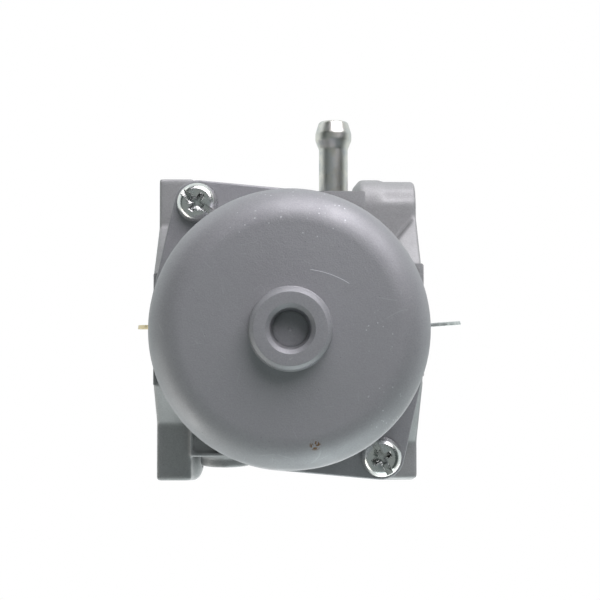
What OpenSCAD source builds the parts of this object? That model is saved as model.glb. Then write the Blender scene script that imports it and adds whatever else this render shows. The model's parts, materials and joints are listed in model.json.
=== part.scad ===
// Side-draught float carburetor for a small engine.
// Frame: origin on the bore axis at the engine flange face. +X runs with the air, out of the
// engine flange; +Y is the fuel inlet side; +Z is up. All sizes are in millimetres.

/* [Air passage] */
// Throttle bore diameter
bore_d = 24; // [22:0.5:25]
// Venturi throat diameter
venturi_d = 19; // [17:0.5:20]
// Air horn diameter
horn_d = 32; // [30:0.5:32]
// Length from the air flange face to the engine flange face
body_len = 61; // [60:0.5:62]

/* [Mounting flanges] */
// Distance between the two stud holes
stud_pitch = 60; // [58:0.5:62]
// Stud hole diameter
stud_hole_d = 6.6; // [6.2:0.1:7]
// Radius of the ears round the stud holes
ear_r = 6.2; // [5.8:0.1:6.6]

/* [Float bowl] */
// Outer diameter of the bowl at its lower shoulder
bowl_d = 57.4; // [57:0.2:58]
// Depth of the bowl below its gasket
bowl_depth = 30.2; // [30:0.1:31]
// Radius of the rounded lower shoulder
shoulder_r = 7.5; // [6:0.5:8]
// Diameter of the boss under the bowl
boss_d = 16.6; // [15:0.2:18]
// Diameter of the blind socket in that boss
socket_d = 8.2; // [7:0.1:9]

/* [Fuel inlet] */
// Outer diameter of the inlet tube
nipple_d = 6.7; // [6:0.1:7]
// Largest diameter of the bulb that holds the hose
bulb_d = 8.4; // [7.5:0.1:8.6]

/* [Hidden] */
$fn = 96;

bore_r = bore_d / 2;
throat_r = venturi_d / 2;
horn_r = horn_d / 2;
slack = 0.02; // how far a straight edge stays inside a tangent arc
deck_z = -20; // joint face between body and bowl
bowl_x = -body_len / 2; // axis of the bowl
flange_r = 19.4; // middle of each mounting flange
flange_t = 8;
ear_depth = 9.9; // engine side ears, from face to back
foot_y = 10.5; // half width of the air flange where it stands on the deck
heel_y = 15; // small heel at the air flange
stud_y = stud_pitch / 2;
ear_y = stud_y + ear_r - slack; // outer side of each ear
ear_z = -ear_r - 0.3; // flat underside of the air side ears
// Outline of each flange below the studs, from the -Y side to the fuel side, as Y and Z.
// The engine side ears reach further down than the air side ears.
engine_low = [[-stud_y - 4.8, -12], [-21.6, -12], [-12.5, deck_z], [12.8, deck_z], [24.3, -8],
    [stud_y + 5.7, -8]];
air_low = [[-stud_y - 5, ear_z], [-26.5, ear_z], [-foot_y, deck_z], [foot_y - 1, deck_z],
    [foot_y - 1, ear_z], [stud_y + 0.5, ear_z], [stud_y + 3.6, ear_z + 1],
    [stud_y + 5.4, ear_z + 3]];
skirt_r = 31.3; // round flange that meets the bowl
skirt_t = 4.5;
gasket_t = 0.8;
rim_z = deck_z - gasket_t;
rim_t = 3.2;
bowl_r = bowl_d / 2;
bowl_wall = 2.6;
bowl_draft = 0.7; // extra radius at the top of the bowl wall
bowl_z = rim_z - bowl_depth; // underside of the bowl
shoulder_z = bowl_z + shoulder_r;
boss_r = boss_d / 2;
boss_h = 4;
socket_r = socket_d / 2;
socket_h = 4.5; // depth of the blind socket
screw_dx = 20.4; // bowl screws, from the bowl axis
screw_dy = 28.1;
screw_ear_r = 5.2;
screw_r = 2.45;
pedestal_r = 6.2; // tower that carries the main jet
pedestal_z = -38;

throttle_x = -6.1;
throttle_r = 3.0; // throttle shaft
throttle_boss_r = 5.5;
throttle_boss_z = 22;
throttle_close = 82; // turn from wide open to fully closed
throttle_plate_t = 1.0;
choke_x = -body_len + 4.6;
choke_r = 2.5; // choke shaft
choke_boss_r = 4.3;
choke_boss_z = 21.5;
choke_close = 80;
choke_rest = 4; // turn towards closed at rest
choke_plate_t = 0.9;
plate_y = 0.2; // the flat that a plate sits on
plate_gap = 0.12; // between a closed plate and its bore
run = 0.05; // radial clearance of a running fit
seal_t = 1.2;
lever_gap = 0.2;
throttle_lever_t = 2;
throttle_lever_z = throttle_boss_z + seal_t + lever_gap;
throttle_arm = 18;
stop_r = 8.9; // radius at which the stop tab meets the idle speed screw
choke_lever_t = 1.5;
choke_lever_z = choke_boss_z + seal_t + lever_gap;
choke_arm = 15;
choke_arm_a = 10; // where the choke arm points at rest
choke_pin_a = 100; // where the choke stop pin stands
choke_pin_at = 7.5;
choke_pin_r = 1.2;

inlet_x = -40.9;
inlet_z = -13;
inlet_r = 6.9; // round end of the inlet boss
inlet_y = 31.4; // outer face of the inlet boss
nipple_r = nipple_d / 2;
bulb_r = bulb_d / 2;
nipple_seat_y = 22;
nipple_tip_y = 48.4;
needle_x = -38.5;
needle_y = 11.5;
pin_y = 18; // float hinge
pin_z = -24;
pin_r = 1.0;
post_gap = 8.8; // between the two hinge posts
post_t = 2.2;
float_drop = 8; // turn of the float from shut to hanging
needle_drop = (pin_y - needle_y) * float_drop * PI / 180;
seat_top = -15;
seat_bottom = -22.5;
seat_r = 3.4;
guide_r = 2.3;

idle_x = throttle_x - stop_r;
idle_z = 19.6;
idle_y = -2.6; // tip of the idle speed screw, backed right out
idle_face = -17; // outer face of its lug
idle_spring_len = 5.2;
thread_r = 2.0;
mix_x = -17;
mix_tilt = -40; // leans the mixture screw towards +Y
mix_face = 25; // outer face of its boss, from the bore axis
mix_tip = 13.2;
mix_spring_len = 5.9;
pilot_x = -30.5;
pilot_y = -18;
pilot_z = 12;
boss_x = -15.9; // side boss on the -Y side
boss_z = -9;
boss_end = -31.6;
plug_x = -29;
plug_z = 15.6;

// ---- helpers ----

// Turns what points along +Z to point along -X from x
module along_x(x) { translate([x, 0, 0]) rotate([0, -90, 0]) children(); }

// Turns what points along +Z to point along +Y from y
module along_y(x, y, z) { translate([x, y, z]) rotate([-90, 0, 0]) children(); }

// A flat outline in Y and Z, made t thick from x towards +X
module plate_yz(x, t) { translate([x, 0, 0]) rotate([90, 0, 90]) linear_extrude(t) children(); }

// A box from its lowest to its highest corner
module block(lo, hi) { translate(lo) cube(hi - lo); }

// Points of the straight sides that join a circle at the origin to one at [d, 0]
function sides(d, r1, r2) =
    let (a = acos((r1 - r2) / d))
    [[r1 * cos(a), r1 * sin(a)], [d + r2 * cos(a), r2 * sin(a)],
     [d + r2 * cos(a), -r2 * sin(a)], [r1 * cos(a), -r1 * sin(a)]];

// Two circles and the straight sides between them
module arm_2d(d, r1, r2) {
    circle(r1);
    translate([d, 0]) circle(r2);
    polygon(sides(d, r1 - slack, r2 - slack));
}

// Outline of the round flange with its two tangent screw ears, round the bowl axis
module rim_2d(r, ear) {
    far = norm([screw_dx, screw_dy]);
    circle(r);
    for (turn = [0, 180]) rotate(atan2(screw_dy, screw_dx) + turn) {
        translate([far, 0]) circle(ear);
        polygon(sides(far, r - slack, ear - slack));
    }
}

// The same outline as one thin solid t thick, joined from solids
module thin_rim(r, ear, t) {
    far = norm([screw_dx, screw_dy]);
    cylinder(r = r, h = t);
    for (turn = [0, 180]) rotate(atan2(screw_dy, screw_dx) + turn) {
        translate([far, 0, 0]) cylinder(r = ear, h = t);
        linear_extrude(t) polygon(sides(far, r - slack, ear - slack));
    }
}

// Puts children at both bowl screws
module at_screws() {
    for (side = [1, -1]) translate([bowl_x + side * screw_dx, side * screw_dy, 0]) children();
}

// Frame of the mixture screw: +Z runs out of the bore
module mixture_frame() { translate([mix_x, 0, 0]) rotate([mix_tilt, 0, 0]) children(); }

// Coil spring of round wire along +Z, as one swept tube
module spring(r, wire, len, turns) {
    sides = 8;
    steps = turns * 16;
    rise = (len - 2 * wire) / steps;
    points = [for (i = [0 : steps], j = [0 : sides - 1])
        let (a = i * 22.5, b = j * 360 / sides, d = r + wire * cos(b))
        [d * cos(a), d * sin(a), wire + i * rise + wire * sin(b)]];
    walls = [for (i = [0 : steps - 1], j = [0 : sides - 1])
        let (k = (j + 1) % sides)
        [i * sides + j, i * sides + k, (i + 1) * sides + k, (i + 1) * sides + j]];
    ends = [[for (j = [sides - 1 : -1 : 0]) j], [for (j = [0 : sides - 1]) steps * sides + j]];
    polyhedron(points, concat(walls, ends));
}

// Domed screw head, h high on top of z = 0, with a straight slot across it
module domed_head(r, h, slot) {
    dome = 1.65 * r;
    difference() {
        intersection() {
            cylinder(r = r, h = h);
            translate([0, 0, h - dome]) sphere(dome);
        }
        block([-r - 1, -slot / 2, h - slot], [r + 1, slot / 2, h + 1]);
    }
}

// ---- body casting ----

// Flange seen from its face: round above the studs, and the outline low below them,
// given from the -Y side to the fuel side
module flange_2d(low) {
    s = sides(stud_y, flange_r - slack, ear_r - slack);
    circle(flange_r);
    for (side = [1, -1]) {
        translate([side * stud_y, 0]) circle(ear_r);
        polygon([[0, 0], [side * s[0][0], s[0][1]], [side * s[1][0], s[1][1]], [side * stud_y, 0]]);
    }
    polygon(concat([[-ear_y, 0]], low, [[ear_y, 0]]));
}

module barrel() {
    along_x(0) rotate_extrude() polygon([
        [0, 1], [16, 1], [16, 20], [14.5, 24], [14.5, 36], [18.6, 44], [18.6, body_len - 1],
        [0, body_len - 1]]);
}

module flanges() {
    plate_yz(-flange_t, flange_t) flange_2d(engine_low);
    plate_yz(-body_len, flange_t) flange_2d(air_low);
    // the fuel side foot of the air flange is cut off at a slant behind the ear
    intersection() {
        plate_yz(-body_len, flange_t) polygon([
            [foot_y - 2, deck_z], [foot_y, deck_z], [27.3, ear_z], [27.3, -1], [foot_y - 2, -1]]);
        translate([0, 0, deck_z - 1]) linear_extrude(30) polygon([
            [-body_len - 1, -40], [-46, -40], [-46, 8.9], [-body_len - 1, 28.5]]);
    }
    // engine side ears are a little deeper than the flange, and taper behind it
    for (side = [1, -1]) translate([0, side * stud_y, 0]) along_x(0) rotate_extrude() polygon([
        [0, 0], [ear_r, 0], [ear_r, flange_t + 0.1], [ear_r - 0.9, ear_depth - 0.6],
        [ear_r - 2.4, ear_depth], [0, ear_depth]]);
    // air side: a long boss on the fuel side, a short one opposite
    translate([0, stud_y, 0]) along_x(-46) rotate_extrude() polygon([
        [0, 0], [4.4, 0], [ear_r + 0.4, 1.9], [ear_r + 0.4, 6.8], [ear_r - 0.3, 7.4],
        [ear_r - 0.3, 8], [0, 8]]);
    // web under that long boss
    block([0.2 - body_len, 10, ear_z - 0.15], [-47.2, stud_y + 0.6, -1.5]);
    translate([0, -stud_y, 0]) along_x(-52) cylinder(r = ear_r, h = 8);
    block([-body_len, 9, deck_z], [-body_len + 3, heel_y, deck_z + 5]);
}

module deck() {
    translate([bowl_x, 0, deck_z]) linear_extrude(skirt_t) rim_2d(skirt_r, screw_ear_r);
    at_screws() translate([0, 0, deck_z]) cylinder(r = 5, h = 15);
    block([-53, -13, deck_z + 1], [-7, 13, 0]);
}

module shaft_bosses() {
    translate([throttle_x, 0, deck_z + 0.5])
        cylinder(r = throttle_boss_r, h = throttle_boss_z - deck_z - 0.5);
    translate([choke_x, 0, deck_z + 0.5])
        cylinder(r = choke_boss_r, h = choke_boss_z - deck_z - 0.5);
    // pad for the choke stop pin
    translate([choke_x, 0, 0]) rotate(choke_pin_a) translate([choke_pin_at, 0, 10])
        cylinder(r = 2.6, h = 11);
}

module inlet_boss() {
    along_y(inlet_x, 4, inlet_z) cylinder(r = inlet_r, h = inlet_y - 4);
    block([inlet_x - inlet_r + slack, 4, deck_z], [inlet_x + inlet_r - slack, inlet_y, inlet_z]);
}

module bowl_side_bosses() {
    translate([bowl_x, 0, pedestal_z]) cylinder(r = pedestal_r, h = deck_z - pedestal_z + 1);
    translate([needle_x, needle_y, seat_bottom]) cylinder(r = 4.3, h = 3.5);
    for (side = [-1, 1]) translate([needle_x + side * (post_gap + post_t) / 2, 0, 0])
        block([-post_t / 2, pin_y - 2.4, pin_z - 2.4], [post_t / 2, pin_y + 2.4, deck_z + 1]);
}

module screw_bosses() {
    mixture_frame() translate([0, 0, 8]) cylinder(r = 4.4, h = mix_face - 8);
    along_y(idle_x, idle_face, idle_z) cylinder(r = 3.6, h = 8);
    block([idle_x - 3, idle_face + 0.4, 6], [idle_x + 3, idle_face + 7.6, idle_z]);
    translate([pilot_x, pilot_y, deck_z + 1]) cylinder(r = 4.8, h = pilot_z - deck_z - 1);
    translate([plug_x, 0, 8]) cylinder(r = 5.6, h = plug_z - 8);
}

// Side boss, and the shelf with an open pocket between it and the engine flange
module side_boss() {
    along_y(boss_x, boss_end, boss_z) cylinder(r = 5.9, h = 24);
    difference() {
        block([-22, -29, -16], [-flange_t + 0.1, -18, boss_z]);
        block([-20.6, -28, -17], [-8.7, -23, -14.8]);
    }
}

module ribs() {
    block([-52, -1.5, 10], [-10, 1.5, 16.6]);
    for (side = [-1, 1]) block([-53, side * 15 - 1.5, -17], [-7, side * 15 + 1.5, -3]);
}

module air_passage() {
    along_x(1) rotate_extrude() polygon([
        [0, 0], [bore_r, 0], [bore_r, 20], [throat_r, 29], [throat_r, 35], [horn_r, 44],
        [horn_r, body_len + 2], [0, body_len + 2]]);
}

module shaft_bores() {
    translate([throttle_x, 0, -18]) cylinder(r = throttle_r + run, h = 42);
    translate([choke_x, 0, -18.9]) cylinder(r = choke_r + run, h = 42);
    translate([choke_x, 0, 0]) rotate(choke_pin_a) translate([choke_pin_at, 0, 16])
        cylinder(r = choke_pin_r, h = 6);
}

module fuel_passages() {
    along_y(inlet_x, nipple_seat_y, inlet_z) cylinder(r = nipple_r, h = 12);
    along_y(inlet_x, needle_y - 1, inlet_z) cylinder(r = 1.6, h = 12);
    translate([needle_x, needle_y, seat_bottom - 1]) cylinder(r = seat_r, h = 11.4);
    translate([bowl_x, 0, pedestal_z - 1]) cylinder(r = 3.2, h = 26);
    translate([bowl_x, 0, -14]) cylinder(r = 2.3, h = 6);
    // pilot circuit
    translate([pilot_x, pilot_y, 2]) cylinder(r = 2.6, h = 12);
    translate([pilot_x, pilot_y, deck_z - 1]) cylinder(r = 1.1, h = 25);
    translate([plug_x, 0, plug_z - 1]) cylinder(r = 4.2, h = 2);
    along_y(boss_x, boss_end - 1, boss_z) cylinder(r = 3.6, h = 5);
    along_y(boss_x, boss_end - 1, boss_z) cylinder(r = 1.5, h = 19);
    // air bleeds in the air flange face, and the bowl vent beside them
    for (side = [-1, 1]) translate([0, side * 10, -17.7]) along_x(-body_len + 5) cylinder(r = 1.3, h = 6);
    translate([0, -21, 0]) along_x(-body_len + 11) cylinder(r = 1.8, h = 12);
}

module screw_holes() {
    for (side = [1, -1]) translate([0, side * stud_y, 0]) along_x(1)
        cylinder(r = stud_hole_d / 2, h = body_len + 2);
    at_screws() translate([0, 0, deck_z - 1]) cylinder(r = 2.5, h = 12.5);
    mixture_frame() translate([0, 0, 14.6]) cylinder(r = thread_r + run, h = 12);
    mixture_frame() translate([0, 0, 10]) cylinder(r = 1, h = 6);
    along_y(idle_x, idle_face - 1, idle_z) cylinder(r = thread_r + run, h = 10);
    translate([needle_x + 8, pin_y, pin_z]) along_x(0) cylinder(r = pin_r, h = 16);
}

module carburetor_body() {
    color("darkgray") difference() {
        union() {
            barrel();
            flanges();
            deck();
            shaft_bosses();
            inlet_boss();
            bowl_side_bosses();
            screw_bosses();
            side_boss();
            ribs();
        }
        air_passage();
        shaft_bores();
        fuel_passages();
        screw_holes();
    }
}

// ---- float bowl ----

// Half section of a cup with a rounded lower corner
module cup_2d(r, top_r, corner, base, top) {
    polygon([[0, base], [r - corner, base], [r, base + corner], [top_r, top], [0, top]]);
    translate([r - corner, base + corner]) intersection() {
        circle(corner);
        translate([0, -corner]) square(corner);
    }
}

module bowl_outside() {
    rotate_extrude() cup_2d(bowl_r, bowl_r + bowl_draft, shoulder_r, bowl_z, rim_z);
    translate([0, 0, rim_z - rim_t]) linear_extrude(rim_t) rim_2d(skirt_r, screw_ear_r);
    // boss with a bevelled edge
    rotate_extrude() polygon([
        [0, bowl_z + 1], [boss_r, bowl_z + 1], [boss_r, bowl_z - boss_h + 0.8],
        [boss_r - 1, bowl_z - boss_h], [0, bowl_z - boss_h]]);
}

module bowl_inside() {
    r = bowl_r - bowl_wall;
    difference() {
        rotate_extrude()
            cup_2d(r, r + bowl_draft, shoulder_r - bowl_wall, bowl_z + bowl_wall, rim_z + 0.1);
        // thick floor above the socket
        translate([0, 0, bowl_z]) cylinder(r = boss_r - 1, h = socket_h - boss_h + 2);
    }
    // socket with a bevelled mouth
    translate([0, 0, bowl_z - boss_h]) rotate_extrude() polygon([
        [0, -1], [socket_r + 1.9, -1], [socket_r, 0.9], [socket_r, socket_h], [0, socket_h]]);
}

module float_bowl() {
    color("slategray") difference() {
        translate([bowl_x, 0, 0]) bowl_outside();
        translate([bowl_x, 0, 0]) bowl_inside();
        at_screws() translate([0, 0, rim_z - rim_t - 1]) cylinder(r = 2.7, h = rim_t + 2);
    }
}

module bowl_gasket() {
    color("dimgray") difference() {
        translate([bowl_x, 0, rim_z]) thin_rim(skirt_r - 0.3, screw_ear_r - 0.3, gasket_t);
        translate([bowl_x, 0, rim_z - 1]) cylinder(r = bowl_r - bowl_wall, h = gasket_t + 2);
        at_screws() translate([0, 0, rim_z - 1]) cylinder(r = 2.7, h = gasket_t + 2);
    }
}

// One pan head screw with its head below the bowl flange
module bowl_screw(slot_angle) {
    head_z = rim_z - rim_t;
    translate([0, 0, head_z]) cylinder(r = screw_r, h = 14.5);
    translate([0, 0, head_z]) rotate([180, 0, 0]) rotate(slot_angle) domed_head(4.5, 3, 1.2);
}

module bowl_screws() {
    color("silver") for (place = [[1, -35], [-1, -63]])
        translate([bowl_x + place[0] * screw_dx, place[0] * screw_dy, 0]) bowl_screw(place[1]);
}

// ---- fuel inlet ----

module fuel_nipple() {
    bulb_y = nipple_tip_y - 4.5;
    color("gainsboro") along_y(inlet_x, 0, inlet_z) rotate_extrude() polygon(concat(
        [[2.2, nipple_seat_y], [nipple_r, nipple_seat_y], [nipple_r, bulb_y - 2.2],
         [bulb_r, bulb_y]],
        [for (t = [0 : 0.25 : 1]) [bulb_r - 1.1 * pow(t, 1.3), bulb_y + 1.5 + 3 * t]],
        [[2.2, nipple_tip_y]]));
}

module needle_seat() {
    color("goldenrod") translate([needle_x, needle_y, 0]) rotate_extrude() polygon([
        [guide_r, seat_bottom], [seat_r, seat_bottom], [seat_r, seat_top], [1.2, seat_top],
        [1.2, seat_top - 1.9], [guide_r, seat_top - 3]]);
}

// Valve pieces are drawn shut; at rest the float hangs and lets them drop
module at_rest_valve() { translate([needle_x, needle_y, seat_top - needle_drop]) children(); }

module inlet_needle() {
    color("goldenrod") at_rest_valve() difference() {
        translate([0, 0, -9.6]) cylinder(r = guide_r - run, h = 6);
        // flats let the fuel past
        for (turn = [0 : 90 : 270]) rotate(turn) block([1.95, -3, -10], [4, 3, -4.6]);
        translate([0, 0, -10]) cylinder(r = 0.9, h = 2);
    }
}

module needle_tip() {
    color("saddlebrown") at_rest_valve() rotate_extrude() polygon([
        [0, -3.6], [2, -3.6], [2, -2.82], [0.4, -1.22], [0, -1.22]]);
}

module needle_pin() {
    color("silver") at_rest_valve() translate([0, 0, -11]) cylinder(r = 0.9, h = 3);
}

// ---- float, drawn with the valve shut and then left to hang ----

module hanging() {
    translate([0, pin_y, pin_z]) rotate([float_drop, 0, 0]) translate([0, -pin_y, -pin_z])
        children();
}

module float() {
    color("tan") hanging() translate([bowl_x, 0, -40]) difference() {
        rotate_extrude() polygon([
            [9, 0.8], [9.8, 0], [21, 0], [22, 1], [22, 9.5], [21, 10.5], [9.8, 10.5], [9, 9.7]]);
        // notch that clears the hinge side of the bowl
        block([-16, 19, -1], [2, 23, 12]);
    }
}

module float_hinge() {
    arm_w = 6.4;
    color("gold") hanging() translate([needle_x, 0, 0]) difference() {
        union() {
            translate([4.1, pin_y, pin_z]) along_x(0) cylinder(r = 2, h = 8.2);
            block([-arm_w / 2, 9, pin_z - 3.2], [arm_w / 2, pin_y, pin_z - 2.2]);
            block([-arm_w / 2, pin_y - 2, pin_z - 2.4], [arm_w / 2, pin_y, pin_z - 1]);
            for (side = [-1, 1]) translate([side * 2.4, 0, 0])
                block([-0.8, 10, -29.5], [0.8, 15, pin_z - 3]);
        }
        translate([5, pin_y, pin_z]) along_x(0) cylinder(r = pin_r + run, h = 10);
    }
}

module float_pin() {
    color("silver") translate([needle_x + 7.4, pin_y, pin_z]) along_x(0)
        cylinder(r = pin_r, h = 14.8);
}

// ---- jets, all of brass ----

module main_nozzle() {
    color("goldenrod") translate([bowl_x, 0, 0]) difference() {
        rotate_extrude() polygon([
            [1.2, -32], [3.2, -32], [3.2, -13], [2.3, -13], [2.3, -5.5], [1.2, -5.5]]);
        for (z = [-29 : 3 : -17], turn = [0, 90]) translate([0, 0, z]) rotate([90, 0, turn])
            cylinder(r = 0.4, h = 8, center = true);
    }
}

// A screwed jet: a hole through it and a slot in the end at z = 0
module jet(r, len, hole) {
    difference() {
        cylinder(r = r, h = len);
        translate([0, 0, -1]) cylinder(r = hole, h = len + 2);
        block([-r - 1, -0.4, -1], [r + 1, 0.4, 0.9]);
    }
}

module main_jet() {
    color("goldenrod") translate([bowl_x, 0, pedestal_z]) jet(3.2, 4, 0.55);
}

module pilot_jet() {
    color("goldenrod") translate([pilot_x, pilot_y, pilot_z - 0.4]) rotate([180, 0, 0]) {
        jet(2.6, 9.6, 0.5);
        translate([0, 0, 9.6]) difference() {
            cylinder(r = 1.1, h = 14);
            translate([0, 0, -1]) cylinder(r = 0.5, h = 16);
        }
    }
}

module air_jet(side, hole) {
    color("goldenrod") translate([-body_len + 0.8, side * 10, -17.7]) rotate([0, 90, 0])
        jet(1.3, 4.2, hole);
}

module main_air_jet() { air_jet(1, 0.5); }

module pilot_air_jet() { air_jet(-1, 0.35); }

module welch_plug() {
    color("silver") translate([plug_x, 0, plug_z - 1]) cylinder(r = 4.2, h = 0.8);
}

module passage_plug() {
    color("goldenrod") along_y(boss_x, boss_end + 1, boss_z) difference() {
        cylinder(r = 3.6, h = 3);
        block([-4, -0.5, -1], [4, 0.5, 0.8]);
    }
}

// ---- throttle ----

module throttle_shaft_seal() {
    color("dimgray") translate([throttle_x, 0, throttle_boss_z]) difference() {
        cylinder(r = throttle_boss_r - 0.4, h = seal_t);
        translate([0, 0, -1]) cylinder(r = throttle_r + run, h = seal_t + 2);
    }
}

// End of a shaft cut to two flats, w apart
module flatted(r, w, h) {
    intersection() {
        cylinder(r = r, h = h);
        block([-r, -w / 2, -1], [r, w / 2, h + 1]);
    }
}

// A butterfly plate that fills a bore of radius r when it has turned through close
module butterfly(r, thick, close) {
    intersection() {
        block([-r - 1, plate_y, -r], [r + 1, plate_y + thick, r]);
        rotate(-close) translate([r + 5, 0, 0]) along_x(0) cylinder(r = r - plate_gap, h = 2 * r + 10);
    }
}

module throttle_shaft() {
    color("silver") translate([throttle_x, 0, 0]) difference() {
        union() {
            translate([0, 0, -17.8]) cylinder(r = throttle_r, h = throttle_lever_z + 17.8);
            translate([0, 0, throttle_lever_z]) flatted(2.5, 3.8, throttle_lever_t);
            translate([0, 0, throttle_lever_z + throttle_lever_t]) cylinder(r = 2.5, h = 5);
        }
        // seat of the plate
        block([-4, plate_y, -bore_r], [4, 4, bore_r]);
        for (z = [-5, 5]) along_y(0, -4, z) cylinder(r = 1.4, h = 5);
    }
}

module throttle_plate() {
    color("khaki") translate([throttle_x, 0, 0]) difference() {
        butterfly(bore_r, throttle_plate_t, throttle_close);
        for (z = [-5, 5]) along_y(0, 0, z) cylinder(r = 1.4, h = 3);
    }
}

// Two screws that hold a plate to its shaft
module plate_screws(x, spread, top, len) {
    for (z = [-spread, spread]) along_y(x, top, z) {
        domed_head(2.1, 1.2, 0.5);
        translate([0, 0, -len]) cylinder(r = 1.4, h = len);
    }
}

module throttle_plate_screws() {
    color("goldenrod") plate_screws(throttle_x, 5, plate_y + throttle_plate_t, 3.6);
}

module throttle_lever() {
    lead = atan2(-idle_y - 0.1, stop_r) + 180 - throttle_close; // leading face of the tab at rest
    color("silver") translate([throttle_x, 0, throttle_lever_z]) {
        difference() {
            union() {
                linear_extrude(throttle_lever_t) rotate(150) arm_2d(throttle_arm, 6, 3.6);
                rotate(lead) block([5, -2, 0], [10.6, 0, throttle_lever_t]);
            }
            translate([0, 0, -1]) flatted(2.5, 3.8, throttle_lever_t + 2);
            rotate(150) translate([throttle_arm, 0, -1]) cylinder(r = 2.1, h = throttle_lever_t + 2);
        }
        // stop tab
        rotate(lead) block([7.4, -2, -5], [10.6, 0, 1]);
    }
}

module throttle_lock_washer() {
    color("silver") translate([throttle_x, 0, throttle_lever_z + throttle_lever_t]) difference() {
        cylinder(r = 4.6, h = 1);
        translate([0, 0, -1]) cylinder(r = 2.5 + run, h = 3);
        block([1, -0.4, -1], [6, 0.4, 3]);
    }
}

module throttle_lever_nut() {
    color("silver") translate([throttle_x, 0, throttle_lever_z + throttle_lever_t + 1])
        difference() {
            cylinder(r = 4.6, h = 3.2, $fn = 6);
            translate([0, 0, -1]) cylinder(r = 2.5 + run, h = 6);
        }
}

// ---- choke, drawn wide open and then turned to rest ----

module choke_shaft_seal() {
    color("dimgray") translate([choke_x, 0, choke_boss_z]) difference() {
        cylinder(r = choke_boss_r - 0.3, h = seal_t);
        translate([0, 0, -1]) cylinder(r = choke_r + run, h = seal_t + 2);
    }
}

module choke_at_rest() { translate([choke_x, 0, 0]) rotate(-choke_rest) children(); }

module choke_shaft() {
    color("silver") choke_at_rest() difference() {
        union() {
            translate([0, 0, -18.7]) cylinder(r = choke_r, h = choke_lever_z + 18.7);
            translate([0, 0, choke_lever_z]) flatted(2.1, 3.2, choke_lever_t);
            translate([0, 0, choke_lever_z + choke_lever_t]) rotate_extrude() polygon([
                [0, -0.5], [1.5, -0.5], [1.5, 0.6], [2.1, 0.6], [2.1, 1.4], [0, 1.4]]);
        }
        block([-4, plate_y, -horn_r], [4, 4, horn_r]);
        for (z = [-6, 6]) along_y(0, -4, z) cylinder(r = 1.4, h = 5);
    }
}

module choke_plate() {
    color("lightgray") choke_at_rest() difference() {
        mirror([1, 0, 0]) butterfly(horn_r, choke_plate_t, choke_close);
        for (z = [-6, 6]) along_y(0, 0, z) cylinder(r = 1.4, h = 3);
        along_y(9, 0, 0) cylinder(r = 2, h = 3);
    }
}

module choke_plate_screws() {
    color("goldenrod") choke_at_rest() plate_screws(0, 6, plate_y + choke_plate_t, 3.1);
}

// Choke lever: an arm with a rod hole, and a rim with a gap that the stop pin stands in
module choke_lever() {
    pin_half = asin(choke_pin_r / choke_pin_at) + 1;
    gap_from = choke_pin_a - choke_rest - pin_half;
    gap_to = choke_pin_a + choke_close - choke_rest + pin_half;
    wedge = [for (i = [0 : 4]) gap_from + i * (gap_to - gap_from) / 4];
    color("silver") translate([choke_x, 0, choke_lever_z]) difference() {
        union() {
            rotate(choke_arm_a) linear_extrude(choke_lever_t) arm_2d(choke_arm, 5.4, 3.2);
            difference() {
                cylinder(r = 9.4, h = choke_lever_t);
                translate([0, 0, -1]) linear_extrude(choke_lever_t + 2)
                    polygon(concat([[0, 0]], [for (a = wedge) 20 * [cos(a), sin(a)]]));
            }
        }
        rotate(-choke_rest) translate([0, 0, -1]) flatted(2.1, 3.2, choke_lever_t + 2);
        rotate(choke_arm_a) translate([choke_arm, 0, -1]) cylinder(r = 1.6, h = choke_lever_t + 2);
    }
}

module choke_lever_clip() {
    color("silver") choke_at_rest() translate([0, 0, choke_lever_z + choke_lever_t]) difference() {
        cylinder(r = 3.8, h = 0.6);
        translate([0, 0, -1]) cylinder(r = 1.5, h = 3);
        block([0, -1.1, -1], [5, 1.1, 2]);
    }
}

module choke_stop_pin() {
    color("silver") translate([choke_x, 0, 16]) rotate(choke_pin_a) translate([choke_pin_at, 0, 0])
        cylinder(r = choke_pin_r, h = 9);
}

// ---- adjusting screws ----

// Screw along +Z: shank from its tip to the spring, then a slotted head
module adjuster(tip_len, len, head_r) {
    rotate_extrude() polygon([
        [0, 0], [0.5, 0], [thread_r, tip_len], [thread_r, len], [head_r, len],
        [head_r, len + 1], [0, len + 1]]);
    translate([0, 0, len + 1]) difference() {
        cylinder(r = head_r, h = 2.6);
        block([-5, -0.6, 1.2], [5, 0.6, 4]);
    }
}

module idle_speed_screw() {
    len = idle_y - idle_face + idle_spring_len;
    color("silver") translate([idle_x, idle_y, idle_z]) rotate([90, 0, 0])
        adjuster(1.2, len, 3.6);
}

module idle_speed_spring() {
    color("silver") translate([idle_x, idle_face, idle_z]) rotate([90, 0, 0])
        spring(2.75, 0.4, idle_spring_len, 5);
}

module idle_mixture_screw() {
    color("goldenrod") mixture_frame() translate([0, 0, mix_tip])
        adjuster(5, mix_face + mix_spring_len - mix_tip, 3.6);
}

module idle_mixture_spring() {
    color("silver") mixture_frame() translate([0, 0, mix_face])
        spring(2.75, 0.4, mix_spring_len, 5);
}

carburetor_body();
float_bowl();
bowl_gasket();
bowl_screws();
fuel_nipple();
needle_seat();
main_nozzle();
main_jet();
pilot_jet();
main_air_jet();
pilot_air_jet();
float_pin();
throttle_shaft_seal();
choke_shaft_seal();
choke_stop_pin();
welch_plug();
passage_plug();
throttle_shaft();
throttle_plate();
throttle_plate_screws();
throttle_lever();
throttle_lock_washer();
throttle_lever_nut();
choke_shaft();
choke_plate();
choke_plate_screws();
choke_lever();
choke_lever_clip();
float();
float_hinge();
inlet_needle();
needle_tip();
needle_pin();
idle_speed_screw();
idle_speed_spring();
idle_mixture_screw();
idle_mixture_spring();
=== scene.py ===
import json
from math import acos, atan2, ceil, cos, hypot, pi, radians, sin

import bmesh
import bpy
import numpy as np
from mathutils import Matrix, Vector
from mathutils.bvhtree import BVHTree
from mathutils.kdtree import KDTree

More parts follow.
